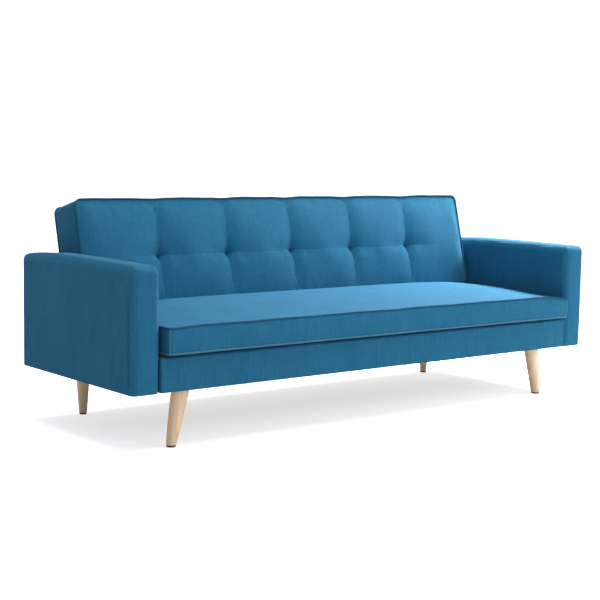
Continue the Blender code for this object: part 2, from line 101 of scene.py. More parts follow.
# ---- arms ----------------------------------------------------------------------------------------
ARM_CORNER = 0.026
ARM_TOP = 0.030  # the roundness of its upper edges
ARM_BOTTOM = 0.005
ARM_EDGE = 0.038  # the band of finer mesh
ARM_FINE = 0.0026
ARM_CROWN_LONG = 0.003  # how far its top stands up, along it and across it
ARM_CROWN_WIDE = 0.0025
ARM_REAR_DROP = 0.010
ARM_SWELL = 0.0022
ARM_FRONT_SWELL = 0.003
ARM_RIPPLE = 0.0008
ARM_RIPPLE_LENGTHS = (0.21, 0.12, 0.05)
ARM_SEAM_IN = 0.025  # from the arm's front to the seam down its outer side
ARM_SEAM_WIDE = 0.0065
ARM_SEAM_DEEP = 0.0085
ARM_PAST_REAR = 0.008  # the padding stands this far past the CAD solid
ARM_PAST_SIDE = 0.005
ARM_PAST_FOOT = 0.005
# shares of the arm's height, from 0 at its foot to 1 at its top
ARM_TOP_BAND = (0.80, 1.0)
ARM_SEAM_FOOT, ARM_SEAM_HEAD = (0.02, 0.08), (0.72, 0.90)  # the seam fades in, and out
ARM_FRONT_FOOT, ARM_FRONT_HEAD = (0.02, 0.2), (0.93, 1.0)  # and so does the front's swell
ARM_FOOT_BAND = (0, 0.1)
# places along the arm, from -1 at its front to 1 at its rear
ARM_CROWN_AT = 0.1
ARM_DROP_BAND = (0.35, 1.0)
ARM_REAR_BAND = (0.5, 1.0)
# other shares
ARM_SWELL_LONG = 0.95  # of its half length
ARM_SWELLS_FROM = 0.98  # of its half width
ARM_FRONT_WIDE = 0.75  # of its half width
ARM_RIPPLE_SLANT = 0.3  # along the arm, for each metre up

# ---- base panel ----------------------------------------------------------------------------------
BASE_CORNER = 0.006
BASE_TOP = 0.014
BASE_BOTTOM = 0.004
BASE_EDGE = 0.018
BASE_SWELL = 0.0010
BASE_WAVE_LENGTHS = (0.43, 0.19, 0.08)
BASE_WAVE_SLANT = 0.4  # along the panel, for each metre up
BASE_PUCKER = 0.0010
BASE_PUCKER_PITCH = 0.055
BASE_PUCKER_SLANT = 0.7
BASE_PUCKER_FROM, BASE_PUCKER_TO = 0.16, 0.02  # in from the panel's end
BASE_PAST_FOOT = 0.005
BASE_TOP_DOWN = 0.009  # leaves the dark gap under the seat
# places and widths up the panel, from -1 at its foot to 1 at its top
BASE_SWELL_TALL = 0.8
BASE_FOOT_BAND = (-1, -0.7)
BASE_TOP_BAND = (0.5, 1)

# ---- seat ----------------------------------------------------------------------------------------
SEAT_EDGE = 0.024
SEAT_CORNER = 0.012
SEAT_CROWN = 0.026
SEAT_CROWN_END = (-0.032, -0.006)  # the crown dies away here, before the backrest's face
SEAT_DROOP_LEFT = 0.002  # its front corners hang a little
SEAT_DROOP_RIGHT = 0.012
SEAT_RIPPLE = 0.0006
SEAT_FRONT_SWELL = 0.0042
SEAT_FRONT_UNEVEN, SEAT_FRONT_LENGTHS = 0.0008, (0.37, 0.16, 0.06)
SEAT_EDGE_WANDER, SEAT_EDGE_LENGTHS = 0.0012, (0.45, 0.22, 0.12)
SEAT_END_SWELL = 0.0035
CORNER_PIPING = PIPING * 0.8
CORNER_PIPING_POINTS = 15
# places and widths along or across the seat, from its middle, as shares of its half size
SEAT_CROWN_START = (-1.2, 0.2)
SEAT_DROOP_LEFT_BAND = (0.90, 1.0)
SEAT_DROOP_RIGHT_BAND = (0.84, 1.0)
SEAT_DROOP_BEHIND = (-0.6, 0.4)
SEAT_RIPPLE_WIDE = 0.6
SEAT_CROWN_POWER = 6  # the crown is flat along the seat's middle and falls near its ends

# ---- backrest ------------------------------------------------------------------------------------
BACK_EDGE = 0.024
BACK_CORNER = 0.023
BACK_END_SWELL = 0.004
BACK_FREE = (0.002, 0.030)  # the face is flat at its rim, and in full relief this far in
BACK_FACE_FROM = -0.2  # share of its half thickness, ahead of which the relief grows
PILLOW_OUT = 0.011  # the whole face stands out this far at the tufts
PILLOW_DEEP = 0.015  # and sinks this far at a seam
PUFF_POWER = 0.7
SEAM_WIDE = 0.042
SEAM_WIDENS = 0.026  # from the tufts to the edges
SEAM_BLUNT_ABOVE, SEAM_BLUNT_BELOW = 0.026, 0.020
SEAM_FADE_ABOVE, SEAM_FADE_BELOW = 0.85, 0.75  # shares lost at the top and bottom edges
ROW_FAINT = 0.15  # share of its depth that the seam along the row keeps at the backrest's ends
ROW_STRONG = 0.25  # and what is added to that share between the tufts
ROW_WIDE = 0.055
ROW_REACH = 0.30
ROW_END_IN = 0.01
CRISP_DEEP = 0.0016  # the stitched line at the bottom of a seam
CRISP_WIDE = 0.0022
CRISP_POWER_ABOVE, CRISP_POWER_BELOW = 3, 1.2
SCALLOP = 0.0030  # the top edge dips over each seam
SCALLOP_WIDE = 0.045
SCALLOP_TALL = 0.10
TOP_WANDER = 0.0006
BESIDE_SEAM = (0.0018, 0.004, 0.008)  # extra mesh lines on both sides of a seam
TUFT_COUNT = 5
TUFT_PITCH = 0.301
TUFT_UP = 0.197  # from the hinge axis up the backrest
TUFT_DEEP = 0.026
TUFT_HELD = 0.006
TUFT_WIDE_ABOVE = 0.018
TUFT_WIDE_BELOW = 0.011

# ---- cloth ---------------------------------------------------------------------------------------
SETTLE_FRAMES = 12
PRESSURE = 0.8
SPARE_CLOTH = 0.002  # a share of the cover's size
SETTLE_CAP = 0.016  # the furthest that a point may move
HELD_RIM = 0.010  # the cover is held within this much of its piping
THREAD = 0.0011
FINE_THREAD = 0.0009
WEBBING_THREAD = 0.0030

# ---- legs ----------------------------------------------------------------------------------------
LEG_SIDES = 64
LEG_RINGS = 12
LEG_BELLY = 0.0012  # the taper swells by this much, halfway down
LEG_FOOT_ROUND = 0.0022
LEG_FOOT_RINGS = 4
LEG_TOP_BEVEL = 0.001
LEG_OVER_GLIDE = 0.0006


# ---- meshes --------------------------------------------------------------------------------------
def spread(half, step, edge, fine):
    """Places from -half to half: every step in the middle, and every fine within edge of the ends."""
    inner = half - edge
    middle = np.linspace(-inner, inner, max(2, round(2 * inner / step) + 1))
    border = np.linspace(inner, half, max(2, round(edge / fine) + 1))[1:]
    return np.concatenate([-border[::-1], middle, border])


def soft_block(half, step, corner, top, bottom, edge=0.03, fine=0.004, lines=((), ())):
    """A closed block of quads.  corner rounds its plan, top and bottom round its upper and lower rims.

    lines adds grid lines at given places along its first two axes, for seams to lie on.
    Returns its points, its faces, and each point's place on the block before rounding.
    """
    ticks = []
    for axis in range(3):
        places = spread(half[axis], step, min(edge, half[axis] * FINE_AT_MOST), fine)
        if axis < 2 and len(lines[axis]):
            extra = np.array(lines[axis])
            near = np.abs(places[:, None] - extra[None]).min(1) < fine / 2
            places = np.sort(np.concatenate([places[~near], extra]))
        ticks.append(places)
    points, faces, start = [], [], 0
    for axis in range(3):
        first, second = [a for a in range(3) if a != axis]
        for side in (-1, 1):
            a, b = np.meshgrid(ticks[first], ticks[second], indexing="ij")
            sheet = np.empty(a.shape + (3,))
            sheet[..., first], sheet[..., second], sheet[..., axis] = a, b, side * half[axis]
            points.append(sheet.reshape(-1, 3))
            index = np.arange(a.size).reshape(a.shape) + start
            start += a.size
            quads = np.stack(
                [index[:-1, :-1], index[1:, :-1], index[1:, 1:], index[:-1, 1:]], -1
            ).reshape(-1, 4)
            outward = side * (-1 if axis == 1 else 1)
            faces.append(quads if outward > 0 else quads[:, ::-1])
    points, faces = np.concatenate(points), np.concatenate(faces)
    _, keep, merged = np.unique(
        np.round(points, 7), axis=0, return_index=True, return_inverse=True
    )
    flat = points[keep]
    faces = merged.reshape(-1)[faces]
    return round_off(flat.copy(), half, corner, top, bottom), faces, flat


def round_off(points, half, corner, top, bottom):
    """Rounds a block's rims and then the corners of its plan."""
    half = np.array(half)
    radius = np.where(points[:, 2] > 0, top, bottom)
    inset = (half[:2] - np.abs(points[:, :2])).min(1)
    sunk = half[2] - np.abs(points[:, 2])
    rim = (inset < radius) & (sunk < radius)
    across, up = radius - inset, radius - sunk
    length = np.maximum(np.hypot(across, up), TINY)
    new_inset = np.where(rim, radius - radius * across / length, inset)
    new_sunk = np.where(rim, radius - radius * up / length, sunk)
    for axis in (0, 1):
        points[rim, axis] *= (half[axis] - new_inset[rim]) / (half[axis] - inset[rim])
    points[:, 2] = np.sign(points[:, 2]) * (half[2] - new_sunk)
    if corner > 0:
        inner = half[:2] - corner
        a, b = (np.clip(np.abs(points[:, i]) - inner[i], 0, None) / corner for i in (0, 1))
        both = (a > 0) & (b > 0)
        new_a, new_b = a * np.sqrt(1 - b * b / 2), b * np.sqrt(1 - a * a / 2)
        for axis, new in ((0, new_a), (1, new_b)):
            moved = np.sign(points[:, axis]) * (inner[axis] + new * corner)
            points[:, axis] = np.where(both, moved, points[:, axis])
    return points


def as_object(name, points, faces, flat, body):
    """An upholstered cover, with a map in metres taken from the block's own sides."""
    mesh = bpy.data.meshes.new(name)
    mesh.from_pydata(points.tolist(), [], faces.tolist())
    layer = mesh.uv_layers.new(name="cloth")
    corner_points = flat[faces.reshape(-1)].reshape(-1, 4, 3)
    span = corner_points.max(1) - corner_points.min(1)
    facing = span.argmin(1)
    pairs = np.array([[1, 2], [0, 2], [0, 1]])[facing]
    uv = np.take_along_axis(corner_points, pairs[:, None, :].repeat(4, 1), 2)
    layer.data.foreach_set("uv", uv.reshape(-1))
    mesh.shade_smooth()
    mesh.materials.append(FABRIC)
    obj = bpy.data.objects.new(name, mesh)
    bpy.context.scene.collection.objects.link(obj)
    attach(obj, body)
    return obj


def piping(name, points, finish, body, radius=PIPING):
    """A round cord sewn along a seam."""
    curve = bpy.data.curves.new(name, "CURVE")
    curve.dimensions = "3D"
    curve.bevel_depth = radius
    curve.bevel_resolution = 3
    curve.use_fill_caps = True
    spline = curve.splines.new("POLY")
    spline.points.add(len(points) - 1)
    for point, place in zip(spline.points, points):
        point.co = (*place, 1.0)
    spline.use_smooth = True
    curve.materials.append(finish)
    obj = bpy.data.objects.new(name, curve)
    bpy.context.scene.collection.objects.link(obj)
    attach(obj, body)
    return obj


def settle(obj, held):
    """Lets a cover settle as cloth: blown out by its filling and held along its seams.

    Only the part round its free points is run.  No point ends further than the cap from its start.
    """
    mesh, scene = obj.data, bpy.context.scene
    start = np.empty(len(mesh.vertices) * 3)
    mesh.vertices.foreach_get("co", start)
    start = start.reshape(-1, 3)
    corners = np.empty(len(mesh.loops), dtype=int)
    mesh.loops.foreach_get("vertex_index", corners)
    faces = corners.reshape(-1, 4)
    faces = faces[~held[faces].all(1)]
    used, local = np.unique(faces, return_inverse=True)
    patch = bpy.data.meshes.new("patch")
    patch.from_pydata(start[used].tolist(), [], local.reshape(-1, 4).tolist())
    sheet = bpy.data.objects.new("patch", patch)
    scene.collection.objects.link(sheet)
    group = sheet.vertex_groups.new(name="held")
    group.add(np.flatnonzero(held[used]).tolist(), 1.0, "REPLACE")
    modifier = sheet.modifiers.new("cloth", "CLOTH")
    stuff = modifier.settings
    stuff.quality = 4
    stuff.mass = 0.25
    stuff.tension_stiffness = stuff.compression_stiffness = 12
    stuff.shear_stiffness = 4
    stuff.bending_stiffness = 1.5
    stuff.air_damping = 4
    stuff.vertex_group_mass = group.name
    stuff.pin_stiffness = 2
    stuff.use_pressure = True
    stuff.uniform_pressure_force = PRESSURE
    stuff.shrink_min = -SPARE_CLOTH
    stuff.effector_weights.gravity = 0
    modifier.collision_settings.use_collision = False
    modifier.point_cache.frame_start, modifier.point_cache.frame_end = 1, SETTLE_FRAMES
    for number in range(1, SETTLE_FRAMES + 1):
        scene.frame_set(number)
    settled = sheet.evaluated_get(bpy.context.evaluated_depsgraph_get()).to_mesh()
    end = np.empty(len(used) * 3)
    settled.vertices.foreach_get("co", end)
    moved = end.reshape(-1, 3) - start[used]
    length = np.linalg.norm(moved, axis=1, keepdims=True)
    capped = SETTLE_CAP * np.tanh(length / SETTLE_CAP)
    start[used] += moved * capped / np.maximum(length, TINY)
    mesh.vertices.foreach_set("co", start.reshape(-1))
    mesh.update()
    bpy.data.objects.remove(sheet)
    bpy.data.meshes.remove(patch)
    scene.frame_set(1)


def bell(distance, width):
    return np.exp(-((distance / width) ** 2))


def smooth(value, start, end):
    """0 up to start, 1 from end on, and an even turn between them."""
    share = np.clip((value - start) / (end - start), 0, 1)
    return share * share * (3 - 2 * share)


def waves(place, seed, lengths=(0.31, 0.13, 0.07), depths=(1.0, 0.5, 0.25)):
    """A gentle irregular wave along a line, from -1 to 1 or so."""
    phases = np.random.default_rng(seed).uniform(0, 2 * pi, len(lengths))
    return sum(d * np.sin(2 * pi * place / w + p) for w, d, p in zip(lengths, depths, phases))


# ---- materials -----------------------------------------------------------------------------------
class Nodes:
    """A short way to write a material's nodes."""

    def __init__(self, name, colour, roughness, metallic=0.0, **sockets):
        self.material = bpy.data.materials.new(name)
        self.material.use_nodes = True
        self.tree = self.material.node_tree
        self.shader = self.tree.nodes["Principled BSDF"]
        self.shader.inputs["Base Color"].default_value = (*colour, 1)
        self.shader.inputs["Roughness"].default_value = roughness
        self.shader.inputs["Metallic"].default_value = metallic
        for socket, value in sockets.items():
            self.shader.inputs[socket.replace("_", " ")].default_value = value

    def put(self, source, node, socket):
        if hasattr(source, "is_linked"):
            self.tree.links.new(source, node.inputs[socket])
        elif source is not None:
            node.inputs[socket].default_value = source

    def math(self, operation, a, b=None):
        node = self.tree.nodes.new("ShaderNodeMath")
        node.operation = operation
        self.put(a, node, 0)
        self.put(b, node, 1)
        return node.outputs[0]

    def coordinates(self, kind="Object"):
        if kind == "UV":
            return self.tree.nodes.new("ShaderNodeUVMap").outputs["UV"]
        return self.tree.nodes.new("ShaderNodeTexCoord").outputs[kind]

    def scaled(self, vector, scale):
        node = self.tree.nodes.new("ShaderNodeMapping")
        self.put(vector, node, "Vector")
        node.inputs["Scale"].default_value = scale
        return node.outputs[0]

    def noise(self, vector, scale, detail=3.0, roughness=0.55, distortion=0.0):
        node = self.tree.nodes.new("ShaderNodeTexNoise")
        self.put(vector, node, "Vector")
        node.inputs["Scale"].default_value = scale
        node.inputs["Detail"].default_value = detail
        node.inputs["Roughness"].default_value = roughness
        node.inputs["Distortion"].default_value = distortion
        return node.outputs["Fac"]

    def ramp(self, value, *stops):
        node = self.tree.nodes.new("ShaderNodeValToRGB")
        self.put(value, node, "Fac")
        elements = node.color_ramp.elements
        while len(elements) < len(stops):
            elements.new(0.5)
        for element, (place, colour) in zip(elements, stops):
            element.position = place
            element.color = (*colour, 1)
        return node.outputs["Color"]

    def mix(self, factor, a, b, blend="MIX"):
        node = self.tree.nodes.new("ShaderNodeMix")
        node.data_type, node.blend_type = "RGBA", blend
        self.put(factor, node, 0)
        self.put(a, node, 6)
        self.put(b, node, 7)
        return node.outputs[2]

    def bump(self, height, distance, strength=1.0, under=None):
        node = self.tree.nodes.new("ShaderNodeBump")
        self.put(height, node, "Height")
        node.inputs["Distance"].default_value = distance
        node.inputs["Strength"].default_value = strength
        self.put(under, node, "Normal")
        return node.outputs[0]

    def finish(self, colour=None, roughness=None, normal=None):
        self.put(colour, self.shader, "Base Color")
        self.put(roughness, self.shader, "Roughness")
        self.put(normal, self.shader, "Normal")
        return self.material


def shade(colour, factor):
    return tuple(c * factor for c in colour)


def cloth(name, colour, coordinates="UV", pitch=THREAD):
    """Plain-weave upholstery cloth: crossing threads with painted shade in the hollows between them,
    slubs, and a faint uneven dye.
    """
    n = Nodes(
        name,
        colour,
        0.88,
        Specular_IOR_Level=0.08,
        Sheen_Weight=0.05,
        Sheen_Roughness=0.45,
        Sheen_Tint=(0.85, 0.93, 1.0, 1.0),
    )
    place = n.coordinates(coordinates)
    split = n.tree.nodes.new("ShaderNodeSeparateXYZ")
    n.put(place, split, 0)
    across = n.math("MULTIPLY", split.outputs[0], pi / pitch)
    along = n.math("MULTIPLY", split.outputs[1], pi / pitch)
    sine_a, sine_b = n.math("SINE", across), n.math("SINE", along)
    warp = n.math("ABSOLUTE", sine_a)
    weft = n.math("ABSOLUTE", sine_b)
    over = n.math("GREATER_THAN", n.math("MULTIPLY", sine_a, sine_b), 0.0)
    weave = n.tree.nodes.new("ShaderNodeMix")
    weave.data_type = "FLOAT"
    n.put(over, weave, 0)
    n.put(warp, weave, 2)
    n.put(weft, weave, 3)
    weave = weave.outputs[0]
    # slubs run along single threads both ways; the dye and the streaks run over many threads
    slub_a = n.noise(n.scaled(place, (1.0, 0.035, 1.0)), 420, 2.0)
    slub_b = n.noise(n.scaled(place, (0.035, 1.0, 1.0)), 420, 2.0)
    slubs = n.math("MULTIPLY", n.math("ADD", slub_a, slub_b), 0.5)
    thread = n.ramp(slubs, (0.36, shade(colour, 0.90)), (0.64, shade(colour, 1.10)))
    dye = n.noise(n.scaled(n.coordinates(), (1.0, 1.0, 0.45)), 9.0, 5.0, 0.62)
    uneven = n.ramp(dye, (0.3, (0.90, 0.93, 0.94)), (0.7, (1.10, 1.06, 1.05)))
    base = n.mix(1.0, thread, uneven, "MULTIPLY")
    drawn = n.noise(n.scaled(n.coordinates(), (1.0, 1.0, 0.05)), 190.0, 3.0, 0.6)
    streaks = n.ramp(drawn, (0.34, (0.92, 0.93, 0.93)), (0.66, (1.08, 1.07, 1.07)))
    base = n.mix(1.0, base, streaks, "MULTIPLY")
    # painted shade: the colour is darkened in the hollows between the threads, where the weave sinks
    weave_gap_shade = n.ramp(weave, (0.0, (0.80, 0.81, 0.82)), (0.75, (1.04, 1.04, 1.04)))
    base = n.mix(1.0, base, weave_gap_shade, "MULTIPLY")
    coarse = n.bump(slubs, 0.0006, 0.35)
    normal = n.bump(weave, 0.00035, 0.55, coarse)
    return n.finish(colour=base, normal=normal)


def wood(name, light, dark, along, rings=26.0, roughness=0.42):
    """Straight-grained timber, its grain running along one axis."""
    n = Nodes(name, light, roughness, Specular_IOR_Level=0.45, Coat_Weight=0.12, Coat_Roughness=0.3)
    stretch = [1.0, 1.0, 1.0]
    stretch[along] = 0.055
    place = n.coordinates("Object")
    warped = n.noise(n.scaled(place, tuple(stretch)), 14, 2.0, 0.5, 0.6)
    grain = n.math("SINE", n.math("MULTIPLY", warped, rings * pi))
    finer = [1.0, 1.0, 1.0]
    finer[along] = 0.022
    fine = n.noise(n.scaled(place, tuple(finer)), 520, 3.0, 0.7)
    both = n.math("ADD", n.math("MULTIPLY", grain, 0.22), fine)
    colour = n.ramp(both, (0.28, dark), (0.52, shade(light, 0.94)), (0.78, light))
    rough = n.math("ADD", n.math("MULTIPLY", fine, 0.22), roughness - 0.1)
    return n.finish(colour=colour, roughness=rough, normal=n.bump(both, 0.0004, 0.25))


def plain(name, colour, roughness, metallic=0.0):
    """Painted, plated or moulded stuff: a fine even texture with faint handling marks."""
    n = Nodes(name, colour, roughness, metallic)
    place = n.coordinates()
    fine = n.noise(place, 900.0, 2.0)
    marks = n.noise(place, 38, 5.0, 0.65)
    tone = n.ramp(marks, (0.35, shade(colour, 0.86)), (0.65, shade(colour, 1.12)))
    rough = n.math("ADD", n.math("MULTIPLY", marks, 0.24), roughness - 0.12)
    return n.finish(colour=tone, roughness=rough, normal=n.bump(fine, 0.0002, 0.3))


BLUE = (0.0195, 0.144, 0.262)
FABRIC = cloth("fabric_blue", BLUE)
# the piping is the sofa's own fabric; these two copies paint light on it: the pale one is a painted
# highlight on the seat's lower and corner cords, and the dark one is painted shade from the creases along
# the seat's upper cord and the backrest's cords
PALE_PIPING_PAINTED_HIGHLIGHT = cloth("pale_piping_painted_highlight", (0.070, 0.190, 0.290), "Object", FINE_THREAD)
DARK_PIPING_PAINTED_SHADE = cloth("dark_piping_painted_shade", shade(BLUE, 0.62), "Object", FINE_THREAD)
LEG_WOOD = wood("leg_wood", (1.0, 0.745, 0.49), (0.96, 0.59, 0.34), 2)
TIMBER = wood("frame_timber", (0.66, 0.48, 0.29), (0.47, 0.31, 0.17), 0, roughness=0.7)
BLACK_STEEL = plain("black_steel", (0.030, 0.030, 0.032), 0.42, 0.6)
SPRING_STEEL = plain("spring_steel", (0.36, 0.36, 0.37), 0.34, 1.0)
ZINC = plain("zinc_steel", (0.60, 0.60, 0.58), 0.36, 1.0)
GLIDE = plain("glide_plastic", (0.045, 0.032, 0.024), 0.55)
DUST_CLOTH = cloth("dust_cloth", (0.020, 0.020, 0.022), "Object", FINE_THREAD)
WEBBING = cloth("webbing", (0.075, 0.075, 0.070), "Object", WEBBING_THREAD)

SLOT_FINISH = {
    "upholstery": FABRIC,
    "frame_timber": TIMBER,
    "leg_wood": LEG_WOOD,
    "black_steel": BLACK_STEEL,
    "spring_steel": SPRING_STEEL,
    "zinc_steel": ZINC,
    "glide_plastic": GLIDE,
    "dust_cloth": DUST_CLOTH,
    "webbing": WEBBING,
}
for part in frame["record"]["subparts"]:
    node = frame["nodes"][part["node"]]
    node.data.materials.clear()
    node.data.materials.append(SLOT_FINISH[part["material_slot"]])
    node.data.shade_smooth()
    node.data.set_sharp_from_angle(angle=radians(35))


# ---- arms ----------------------------------------------------------------------------------------
def arm(side, sign):
    """A padded sleeve: crowned on top, swollen between its ends, seamed down its outer side."""
    low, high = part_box(f"arm_cover_{side}")
    half, centre = (high - low) / 2, (low + high) / 2
    points, faces, flat = soft_block(
        tuple(half), GRID, ARM_CORNER, ARM_TOP, ARM_BOTTOM, edge=ARM_EDGE, fine=ARM_FINE
    )
    x, y, z = points.T
    along = y / half.y  # -1 at the front, 1 at the rear
    height = (z + half.z) / (2 * half.z)
    upper = smooth(height, *ARM_TOP_BAND)
    drop = ARM_REAR_DROP * smooth(along, *ARM_DROP_BAND)
    z += upper * (ARM_CROWN_LONG * (1 - (along - ARM_CROWN_AT) ** 2) - drop)
    z += upper * ARM_CROWN_WIDE * (1 - (x / half.x) ** 2)
    swell = bell(along, ARM_SWELL_LONG) * np.sin(np.clip(height, 0, 1) * pi) ** 0.5
    x += np.sign(x) * (np.abs(x) > half.x * ARM_SWELLS_FROM) * swell * ARM_SWELL
    on_side = np.abs(flat[:, 0]) > half.x * ON_FACE
    outward = sign * flat[:, 0]
    seam = bell(y + half.y - ARM_SEAM_IN, ARM_SEAM_WIDE)
    seam = seam * smooth(height, *ARM_SEAM_FOOT) * (1 - smooth(height, *ARM_SEAM_HEAD))
    x -= sign * (outward > half.x * ON_FACE) * seam * ARM_SEAM_DEEP
    y += smooth(along, *ARM_REAR_BAND) * ARM_PAST_REAR
    ripple = waves(y + ARM_RIPPLE_SLANT * z, 11 + sign, ARM_RIPPLE_LENGTHS)
    x += np.sign(x) * on_side * ARM_RIPPLE * ripple
    x += sign * (outward > half.x / 2) * ARM_PAST_SIDE
    z -= (1 - smooth(height, *ARM_FOOT_BAND)) * ARM_PAST_FOOT
    front = flat[:, 1] < -half.y * ON_FACE
    middle = bell(x / half.x, ARM_FRONT_WIDE) * smooth(height, *ARM_FRONT_FOOT)
    y -= front * middle * (1 - smooth(height, *ARM_FRONT_HEAD)) * ARM_FRONT_SWELL
    points = np.stack([x, y, z], 1) + np.array(centre)
    piece = as_object(f"arm_{side}", points, faces, flat, "base")
    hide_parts(f"arm_cover_{side}")


# ---- base ----------------------------------------------------------------------------------------
def base_panel():
    """The padded front panel: faintly wavy, and puckered near its two ends."""
    half, centre = (BASE_HIGH - BASE_LOW) / 2, (BASE_LOW + BASE_HIGH) / 2
    points, faces, flat = soft_block(
        tuple(half), GRID, BASE_CORNER, BASE_TOP, BASE_BOTTOM, edge=BASE_EDGE, fine=FINE
    )
    x, y, z = points.T
    front = smooth(-y, 0.0, half.y)
    level = bell(z / half.z, BASE_SWELL_TALL)
    uneven = waves(x + BASE_WAVE_SLANT * z, 5, BASE_WAVE_LENGTHS)
    y -= front * level * BASE_SWELL * (1 + uneven)
    near_end = smooth(np.abs(x), half.x - BASE_PUCKER_FROM, half.x - BASE_PUCKER_TO)
    pucker = np.sin((x + BASE_PUCKER_SLANT * z) * 2 * pi / BASE_PUCKER_PITCH)
    y += front * near_end * BASE_PUCKER * pucker * level
    down = (1 - smooth(z / half.z, *BASE_FOOT_BAND)) * BASE_PAST_FOOT
    z -= down + smooth(z / half.z, *BASE_TOP_BAND) * BASE_TOP_DOWN
    points = np.stack([x, y, z], 1) + np.array(centre)
    piece = as_object("base_panel", points, faces, flat, "base")
    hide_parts("front_fascia")


# ---- seat ----------------------------------------------------------------------------------------
SEAT_HALF = (SEAT_HIGH - SEAT_LOW) / 2
SEAT_MIDDLE = (SEAT_LOW + SEAT_HIGH) / 2
BACK_FACE_Y = HINGE.y - FACE_BEHIND / cos(RECLINE) + FACE_BEHIND * tan(RECLINE)


def end_band(place, half):
    """0 until near the end of a side, and 1 at the end."""
    return np.clip((place - half + END_BAND) / END_BAND, 0, 1)


def seat_shape(points):
    """Crowns, droops and bulges the seat's block; the same rule places its piping."""
    x, y, z = points.T.copy()
    across, along = x / SEAT_HALF.x, y / SEAT_HALF.y
    upper = smooth(z / SEAT_HALF.z, -1, 1)
    behind = y + SEAT_MIDDLE.y - BACK_FACE_Y
    crown = SEAT_CROWN * (1 - across**SEAT_CROWN_POWER)
    crown = crown * smooth(along, *SEAT_CROWN_START) * (1 - smooth(behind, *SEAT_CROWN_END))
    droop = SEAT_DROOP_LEFT * smooth(-across, *SEAT_DROOP_LEFT_BAND)
    droop += SEAT_DROOP_RIGHT * smooth(across, *SEAT_DROOP_RIGHT_BAND)
    droop *= 1 - smooth(along, *SEAT_DROOP_BEHIND)
    ripple = SEAT_RIPPLE * waves(x, seed=21) * bell(along + 1, SEAT_RIPPLE_WIDE)
    z_new = z + upper * (crown - droop + ripple)
    middle = 1 - np.clip(np.abs(z) / SEAT_HALF.z, 0, 1) ** 2
    is_front, is_end = end_band(-y, SEAT_HALF.y), end_band(np.abs(x), SEAT_HALF.x)
    uneven = SEAT_FRONT_UNEVEN * waves(x, 31, SEAT_FRONT_LENGTHS)
    y_new = y - is_front * middle * (SEAT_FRONT_SWELL + uneven)
    y_new -= is_front * SEAT_EDGE_WANDER * waves(x, 22, SEAT_EDGE_LENGTHS)
    x_new = x + np.sign(x) * is_end * middle * SEAT_END_SWELL
    return np.stack([x_new, y_new, z_new], 1)


def plan_line(half, corner, height):
    """A closed line round a rounded plan, at one height and a little in from its rim."""
    x, y = half.x - PIPING_IN - corner, half.y - PIPING_IN - corner
    line = []
    for turn, (centre_x, centre_y) in enumerate(((x, y), (-x, y), (-x, -y), (x, -y))):
        for i in range(CORNER_STEPS + 1):
            angle = radians(90 * (turn + i / CORNER_STEPS))
            line.append((centre_x + corner * cos(angle), centre_y + corner * sin(angle), height))
    line = np.array(line)
    filled = []
    for a, b in zip(line, np.roll(line, -1, 0)):
        count = max(1, round(np.linalg.norm(b - a) / GRID))
        filled += [a + (b - a) * i / count for i in range(count)]
    return np.array(filled)


def open_run(line, kept):
    """The points of a closed line where kept holds, from the run's one end to its other."""
    start = np.flatnonzero(kept & ~np.roll(kept, 1))[0]
    return np.roll(line, -start, 0)[: kept.sum()]


def seat():
    points, faces, flat = soft_block(
        tuple(SEAT_HALF), GRID, SEAT_CORNER, RIM, RIM, edge=SEAT_EDGE, fine=FINE
    )
    points = seat_shape(points) + np.array(SEAT_MIDDLE)
    piece = as_object("seat_cover", points, faces, flat, "seat")
    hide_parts("seat_cushion")
    level = SEAT_HALF.z - PIPING_IN
    # the upper cord gets the darker copy of the fabric, which is painted shade; the lower cord gets the
    # paler copy, which is a painted highlight
    for name, height, finish in (("upper", level, DARK_PIPING_PAINTED_SHADE), ("lower", -level, PALE_PIPING_PAINTED_HIGHLIGHT)):
        line = plan_line(SEAT_HALF, SEAT_CORNER, height)
        line = open_run(line, line[:, 1] + SEAT_MIDDLE.y < BACK_FACE_Y)
        line = seat_shape(line) + np.array(SEAT_MIDDLE)
        piping(f"seat_piping_{name}", line, finish, "seat")
    inset = SEAT_CORNER * (1 - cos(radians(45))) + PIPING_IN
    # the corner cords get the paler copy of the fabric: a painted highlight
    for name, sign in (("left", -1), ("right", 1)):
        x, y = sign * (SEAT_HALF.x - inset), inset - SEAT_HALF.y
        line = np.array([(x, y, height) for height in np.linspace(-level, level, CORNER_PIPING_POINTS)])
        line = seat_shape(line) + np.array(SEAT_MIDDLE)
        piping(f"seat_piping_corner_{name}", line, PALE_PIPING_PAINTED_HIGHLIGHT, "seat", CORNER_PIPING)


# ---- backrest ------------------------------------------------------------------------------------
BACK_BLOCK = Vector((BACK_HALF, (BACK_HEAD - BACK_FOOT) / 2, BACK_THICK / 2))
TUFTS = [(i - (TUFT_COUNT - 1) / 2) * TUFT_PITCH for i in range(TUFT_COUNT)]
TUFT_ROW = TUFT_UP - (BACK_HEAD + BACK_FOOT) / 2
LEAN = Matrix.Rotation(-RECLINE, 4, "X")


def back_place(points):
    """From the backrest's block (x along, y up its slope, z out of its face) to the row frame."""
    x, up, out = points.T
    rear = BACK_THICK / 2 - FACE_BEHIND - out
    place = np.stack([x, rear, up + (BACK_HEAD + BACK_FOOT) / 2], 1)
    turn = np.array(LEAN.to_3x3())
    return place @ turn.T + np.array(HINGE)


def puff(distance, width):
    """0 on a seam, rising steeply and then rounding off to 1 at the given width."""
    return (1 - (1 - np.clip(distance / width, 0, 1)) ** 2) ** PUFF_POWER


